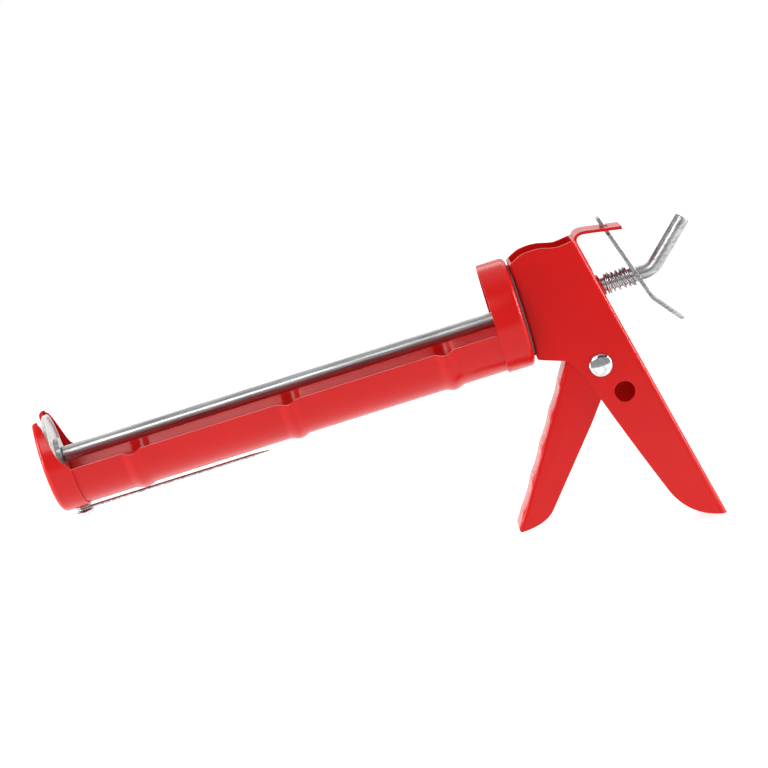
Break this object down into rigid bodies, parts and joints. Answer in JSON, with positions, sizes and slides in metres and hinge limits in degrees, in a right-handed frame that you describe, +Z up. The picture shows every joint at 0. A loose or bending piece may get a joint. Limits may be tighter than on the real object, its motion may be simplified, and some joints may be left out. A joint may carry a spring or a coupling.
{
  "type": "caulking gun",
  "caption": "Skeleton caulking gun: half-round cradle that turns on a folded steel handle, hooked push rod, grip-plate drive, release plate and folding seal needle.",
  "frame": {"origin": "bottom centre of the object's box, on the level of the handle's foot, under the rod's axis", "axes": "+X along the push rod towards its hook (the nozzle end is -X), +Z up with the cradle level, +Y away from the side with the spout cutter"},
  "size_m": [0.3246, 0.0532, 0.1533],
  "materials": {
    "red_paint": "gloss powder coat",
    "zinc_plate": "bright zinc plate",
    "black_fibre": "pressed fibre",
    "chrome": "polished",
    "spring_steel": "drawn wire"
  },
  "bodies": {
    "frame": {"handle_frame": "red_paint", "trigger_rivet": "chrome", "trigger_spacer": "zinc_plate", "swivel_bush": "zinc_plate", "drive_spring": "spring_steel", "release_spring": "spring_steel"},
    "cradle": {"rear_collar": "red_paint", "barrel_trough": "red_paint", "front_cap": "red_paint", "swivel_washer": "black_fibre", "needle_rivet": "chrome", "needle_washer": "zinc_plate"},
    "needle": {"seal_needle": "spring_steel"},
    "trigger": {"trigger": "red_paint"},
    "drive": {"drive_plate": "zinc_plate"},
    "plunger": {"plunger_disc": "zinc_plate"},
    "rod": {"push_rod": "zinc_plate", "plunger_washer": "zinc_plate", "plunger_nut": "zinc_plate"},
    "release": {"release_plate": "zinc_plate"}
  },
  "joints": [
    {"name": "cradle_swivel", "type": "hinge", "parent": "frame", "child": "cradle", "pos_m": [0.07331, 0, 0.1215], "axis": [1, 0, 0], "continuous": true},
    {"name": "trigger_squeeze", "type": "hinge", "parent": "frame", "child": "trigger", "pos_m": [0.10191, 0, 0.0869], "axis": [0, -1, 0], "range_deg": [0, 34], "stiffness_Nm_per_rad": 0.4, "springref_deg": -17.19},
    {"name": "drive_slide", "type": "slide", "parent": "frame", "child": "drive", "axis": [-1, 0, 0], "range_m": [0, 0.0103], "deforming": ["drive_spring"]},
    {"name": "plunger_travel", "type": "slide", "parent": "frame", "child": "plunger", "axis": [1, 0, 0], "range_m": [0, 0.2]},
    {"name": "rod_spin", "type": "hinge", "parent": "plunger", "child": "rod", "pos_m": [0.07331, 0, 0.1215], "axis": [1, 0, 0], "continuous": true},
    {"name": "release_tilt", "type": "hinge", "parent": "frame", "child": "release", "pos_m": [0.12276, 0, 0.14736], "axis": [0, 1, 0], "range_deg": [0, 10], "stiffness_Nm_per_rad": 0.3, "springref_deg": -11.46, "deforming": ["release_spring"]},
    {"name": "needle_swing", "type": "hinge", "parent": "cradle", "child": "needle", "pos_m": [-0.15339, 0, 0.0935], "axis": [0, 0, 1], "continuous": true}
  ],
  "couplings": [
    {"joint": "drive_slide", "follows": "trigger_squeeze", "m_per_rad": 0.017116}
  ]
}
